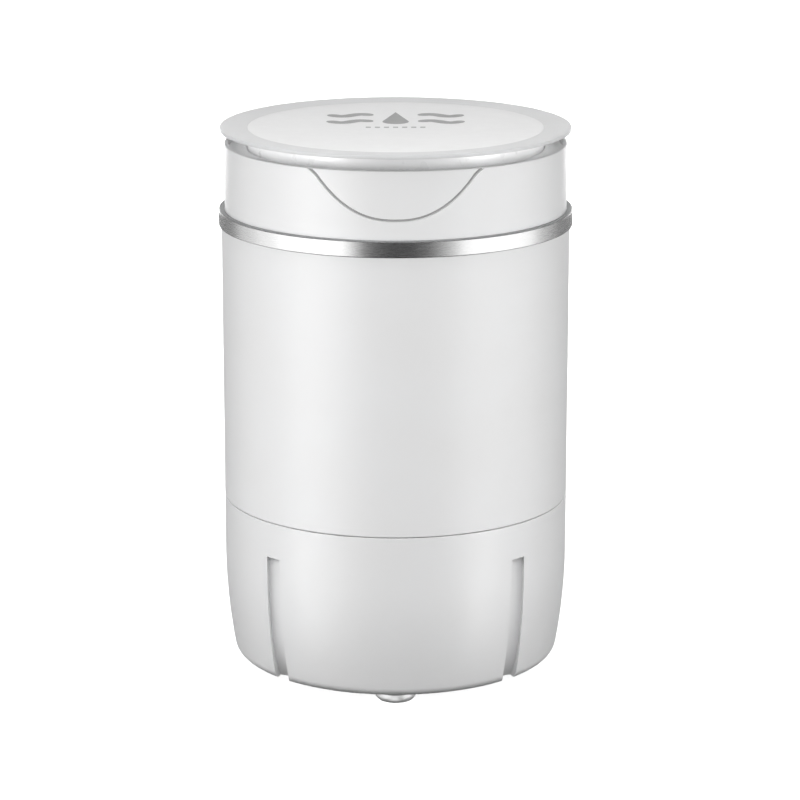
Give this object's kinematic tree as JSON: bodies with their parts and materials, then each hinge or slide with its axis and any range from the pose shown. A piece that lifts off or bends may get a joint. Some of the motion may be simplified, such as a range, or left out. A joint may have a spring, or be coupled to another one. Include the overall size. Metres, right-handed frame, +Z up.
{
  "type": "portable mini washer",
  "caption": "Small round pulsator washer with a lift-off frosted lid, metal trim ring, fluted base on four feet and a rear panel with timer knob and drain.",
  "frame": {"origin": "on the floor under the feet, on the tub's vertical axis", "axes": "+Z up along the tub's axis; -Y is the front, where the collar has its bell-shaped recess; +Y is the rear, with the service panel"},
  "size_m": [0.254, 0.254, 0.401],
  "materials": {
    "white_abs": "glossy white moulded plastic",
    "tub_white": "smooth white moulded plastic",
    "frosted_lid": "frosted translucent plastic",
    "lid_white": "satin white plastic with plain grey wave lines",
    "trim_metal": "brushed bright metal",
    "foot_silver": "smooth light grey plastic",
    "panel_grey": "fine textured grey plastic",
    "knob_white": "satin white plastic",
    "dark_plastic": "fine textured dark plastic",
    "grey_rubber": "matt grey rubber",
    "silicone": "matt pale silicone",
    "zinc_steel": "zinc-plated steel",
    "cast_metal": "cast, matt"
  },
  "bodies": {
    "root": {"base_shell": "white_abs", "body_shell": "white_abs", "collar": "white_abs", "bottom_cover": "white_abs", "wash_tub": "tub_white", "trim_ring": "trim_metal", "foot_front": "foot_silver", "foot_right": "foot_silver", "foot_back": "foot_silver", "foot_left": "foot_silver", "rear_panel": "panel_grey", "drain_outlet": "panel_grey", "timer_body": "dark_plastic", "cord_gland": "dark_plastic", "run_capacitor": "dark_plastic", "deck_ring": "white_abs", "tub_gasket": "grey_rubber", "shaft_seal": "grey_rubber", "drive_belt": "grey_rubber", "drain_hose": "grey_rubber", "cover_screw_1": "zinc_steel", "cover_screw_2": "zinc_steel", "cover_screw_3": "zinc_steel", "cover_screw_4": "zinc_steel", "tub_screw_1": "zinc_steel", "tub_screw_2": "zinc_steel", "tub_screw_3": "zinc_steel", "tub_screw_4": "zinc_steel", "housing_screw_1": "zinc_steel", "housing_screw_2": "zinc_steel", "housing_screw_3": "zinc_steel", "motor_screw_1": "zinc_steel", "motor_screw_2": "zinc_steel", "bracket_screw_1": "zinc_steel", "bracket_screw_2": "zinc_steel", "bearing_upper": "zinc_steel", "bearing_lower": "zinc_steel", "motor_bracket": "zinc_steel", "bearing_housing": "cast_metal", "motor_body": "cast_metal"},
    "lid": {"lid_plate": "frosted_lid", "lid_panel": "lid_white", "lid_plug": "frosted_lid", "lid_seal": "silicone"},
    "pulsator": {"pulsator": "tub_white", "pulsator_screw": "zinc_steel", "drive_shaft": "zinc_steel", "driven_pulley": "panel_grey", "pulley_nut": "zinc_steel"},
    "motor_rotor": {"motor_shaft": "zinc_steel", "motor_pulley": "panel_grey"},
    "timer_dial": {"timer_knob": "knob_white", "timer_shaft": "zinc_steel"},
    "drain_cap": {"drain_cap": "dark_plastic"}
  },
  "joints": [
    {"name": "lid_lift", "type": "slide", "parent": "root", "child": "lid", "axis": [0, 0, 1], "range_m": [0, 0.12]},
    {"name": "pulsator_spin", "type": "hinge", "parent": "root", "child": "pulsator", "pos_m": [0, 0, 0.16], "axis": [0, 0, 1], "continuous": true},
    {"name": "motor_spin", "type": "hinge", "parent": "root", "child": "motor_rotor", "pos_m": [0, -0.064, 0.05], "axis": [0, 0, 1], "continuous": true},
    {"name": "timer_turn", "type": "hinge", "parent": "root", "child": "timer_dial", "pos_m": [0, 0.115, 0.088], "axis": [0, -1, 0], "range_deg": [0, 300]},
    {"name": "drain_cap_pull", "type": "slide", "parent": "root", "child": "drain_cap", "axis": [0, 1, 0], "range_m": [0, 0.03]}
  ],
  "couplings": [
    {"joint": "motor_spin", "follows": "pulsator_spin", "ratio": 4}
  ]
}
